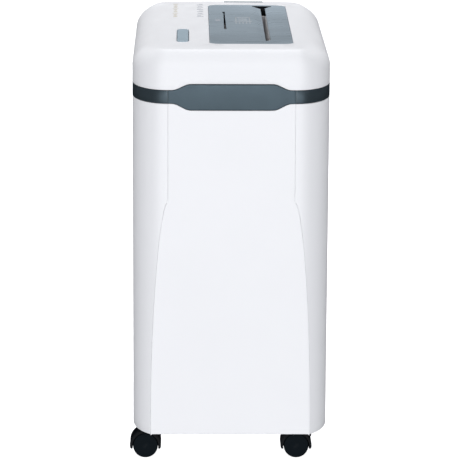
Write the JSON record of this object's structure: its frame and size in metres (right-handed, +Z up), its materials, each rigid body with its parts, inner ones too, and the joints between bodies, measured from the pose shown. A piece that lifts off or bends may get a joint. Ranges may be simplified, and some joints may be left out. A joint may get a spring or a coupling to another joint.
{
  "type": "paper shredder",
  "caption": "Upright cross-cut paper shredder on hooded twin-wheel casters, with a pull-out bin, rocking control key, and paper and disc slots.",
  "frame": {"origin": "centre of the bounding box in plan, at floor level", "axes": "+Z up, front (drawer face) towards -Y, +X to the viewer's right when facing the front"},
  "size_m": [0.2406, 0.3899, 0.5043],
  "materials": {
    "white_plastic": "satin moulded white",
    "slate_plastic": "satin blue-grey",
    "panel_grey": "fine metallic grey",
    "key_grey": "satin blue-grey, translucent look",
    "grey_plastic": "fine grain",
    "bin_plastic": "fine grain",
    "black_plastic": "fine grain",
    "gland_rubber": "matte",
    "wheel_nylon": "satin, lightly scuffed",
    "zinc_steel": "zinc plated",
    "cutter_steel": "hardened and ground",
    "sintered_bronze": "oiled sintered bronze",
    "gear_steel": "machined",
    "motor_case": "drawn sheet",
    "circuit_board": "solder mask"
  },
  "bodies": {
    "housing": {"head_cover": "white_plastic", "entry_panel": "panel_grey", "vent_grille": "grey_plastic", "trim_band": "slate_plastic", "side_panel_left": "white_plastic", "side_panel_right": "white_plastic", "rear_panel": "white_plastic", "cord_gland": "gland_rubber", "base_plate": "white_plastic", "deck_rail_left": "zinc_steel", "deck_rail_right": "zinc_steel", "cutter_plate_front": "zinc_steel", "cutter_plate_rear": "zinc_steel", "tie_rod_low": "zinc_steel", "tie_rod_high": "zinc_steel", "bush_front_a": "sintered_bronze", "bush_front_b": "sintered_bronze", "bush_rear_a": "sintered_bronze", "bush_rear_b": "sintered_bronze", "motor": "motor_case", "gear_cover": "black_plastic", "idler_pin": "zinc_steel", "throat_guide": "black_plastic", "disc_chute": "black_plastic", "control_board": "circuit_board", "key_switch": "black_plastic", "paper_sensor": "black_plastic", "interlock_switch": "black_plastic", "caster_socket_front_left": "black_plastic", "caster_socket_front_right": "black_plastic", "caster_socket_rear_left": "black_plastic", "caster_socket_rear_right": "black_plastic"},
    "drawer": {"bin_front": "white_plastic", "bin_handle": "slate_plastic", "waste_bin": "bin_plastic"},
    "control_key": {"control_key": "key_grey"},
    "interlock_plunger": {"interlock_plunger": "key_grey"},
    "cutter_a": {"cutter_shaft_a": "cutter_steel", "sync_gear_a": "gear_steel", "main_gear": "gear_steel"},
    "cutter_b": {"cutter_shaft_b": "cutter_steel", "sync_gear_b": "gear_steel"},
    "idler": {"idler_gear": "gear_steel"},
    "motor_rotor": {"motor_pinion": "zinc_steel"},
    "caster_front_left": {"caster_hood_front_left": "black_plastic", "caster_axle_front_left": "zinc_steel"},
    "caster_front_left_wheel_1": {"caster_wheel_front_left_1": "wheel_nylon"},
    "caster_front_left_wheel_2": {"caster_wheel_front_left_2": "wheel_nylon"},
    "caster_front_right": {"caster_hood_front_right": "black_plastic", "caster_axle_front_right": "zinc_steel"},
    "caster_front_right_wheel_1": {"caster_wheel_front_right_1": "wheel_nylon"},
    "caster_front_right_wheel_2": {"caster_wheel_front_right_2": "wheel_nylon"},
    "caster_rear_left": {"caster_hood_rear_left": "black_plastic", "caster_axle_rear_left": "zinc_steel"},
    "caster_rear_left_wheel_1": {"caster_wheel_rear_left_1": "wheel_nylon"},
    "caster_rear_left_wheel_2": {"caster_wheel_rear_left_2": "wheel_nylon"},
    "caster_rear_right": {"caster_hood_rear_right": "black_plastic", "caster_axle_rear_right": "zinc_steel"},
    "caster_rear_right_wheel_1": {"caster_wheel_rear_right_1": "wheel_nylon"},
    "caster_rear_right_wheel_2": {"caster_wheel_rear_right_2": "wheel_nylon"}
  },
  "joints": [
    {"name": "drawer_slide", "type": "slide", "parent": "housing", "child": "drawer", "axis": [0, -1, 0], "range_m": [0, 0.3]},
    {"name": "control_key_rock", "type": "hinge", "parent": "housing", "child": "control_key", "pos_m": [-0.0573, -0.0858, 0.4975], "axis": [1, 0, 0], "range_deg": [-3.5, 3.5]},
    {"name": "interlock_push", "type": "slide", "parent": "housing", "child": "interlock_plunger", "axis": [0, 1, 0], "range_m": [0, 0.003], "stiffness_N_per_m": 150, "springref_m": -0.003},
    {"name": "cutter_a_spin", "type": "hinge", "parent": "housing", "child": "cutter_a", "pos_m": [0.029, 0, 0.44], "axis": [0, 1, 0], "continuous": true},
    {"name": "cutter_b_spin", "type": "hinge", "parent": "housing", "child": "cutter_b", "pos_m": [0.059, 0, 0.44], "axis": [0, 1, 0], "continuous": true},
    {"name": "idler_spin", "type": "hinge", "parent": "housing", "child": "idler", "pos_m": [-0.01984, 0, 0.44395], "axis": [0, 1, 0], "continuous": true},
    {"name": "motor_spin", "type": "hinge", "parent": "housing", "child": "motor_rotor", "pos_m": [-0.045, 0, 0.425], "axis": [0, 1, 0], "continuous": true},
    {"name": "caster_front_left_swivel", "type": "hinge", "parent": "housing", "child": "caster_front_left", "pos_m": [-0.0908, -0.156, 0.04], "axis": [0, 0, 1], "continuous": true},
    {"name": "caster_front_left_wheel_1_roll", "type": "hinge", "parent": "caster_front_left", "child": "caster_front_left_wheel_1", "pos_m": [-0.1017, -0.156, 0.015], "axis": [0, 1, 0], "continuous": true},
    {"name": "caster_front_left_wheel_2_roll", "type": "hinge", "parent": "caster_front_left", "child": "caster_front_left_wheel_2", "pos_m": [-0.1017, -0.156, 0.015], "axis": [0, 1, 0], "continuous": true},
    {"name": "caster_front_right_swivel", "type": "hinge", "parent": "housing", "child": "caster_front_right", "pos_m": [0.0908, -0.156, 0.04], "axis": [0, 0, 1], "continuous": true},
    {"name": "caster_front_right_wheel_1_roll", "type": "hinge", "parent": "caster_front_right", "child": "caster_front_right_wheel_1", "pos_m": [0.0799, -0.156, 0.015], "axis": [0, 1, 0], "continuous": true},
    {"name": "caster_front_right_wheel_2_roll", "type": "hinge", "parent": "caster_front_right", "child": "caster_front_right_wheel_2", "pos_m": [0.0799, -0.156, 0.015], "axis": [0, 1, 0], "continuous": true},
    {"name": "caster_rear_left_swivel", "type": "hinge", "parent": "housing", "child": "caster_rear_left", "pos_m": [-0.0908, 0.156, 0.04], "axis": [0, 0, 1], "continuous": true},
    {"name": "caster_rear_left_wheel_1_roll", "type": "hinge", "parent": "caster_rear_left", "child": "caster_rear_left_wheel_1", "pos_m": [-0.0799, 0.156, 0.015], "axis": [0, 1, 0], "continuous": true},
    {"name": "caster_rear_left_wheel_2_roll", "type": "hinge", "parent": "caster_rear_left", "child": "caster_rear_left_wheel_2", "pos_m": [-0.0799, 0.156, 0.015], "axis": [0, 1, 0], "continuous": true},
    {"name": "caster_rear_right_swivel", "type": "hinge", "parent": "housing", "child": "caster_rear_right", "pos_m": [0.0908, 0.156, 0.04], "axis": [0, 0, 1], "continuous": true},
    {"name": "caster_rear_right_wheel_1_roll", "type": "hinge", "parent": "caster_rear_right", "child": "caster_rear_right_wheel_1", "pos_m": [0.1017, 0.156, 0.015], "axis": [0, 1, 0], "continuous": true},
    {"name": "caster_rear_right_wheel_2_roll", "type": "hinge", "parent": "caster_rear_right", "child": "caster_rear_right_wheel_2", "pos_m": [0.1017, 0.156, 0.015], "axis": [0, 1, 0], "continuous": true}
  ],
  "couplings": [
    {"joint": "cutter_b_spin", "follows": "cutter_a_spin", "ratio": -1},
    {"joint": "idler_spin", "follows": "cutter_a_spin", "ratio": -3.4545},
    {"joint": "motor_spin", "follows": "cutter_a_spin", "ratio": 11.055}
  ]
}
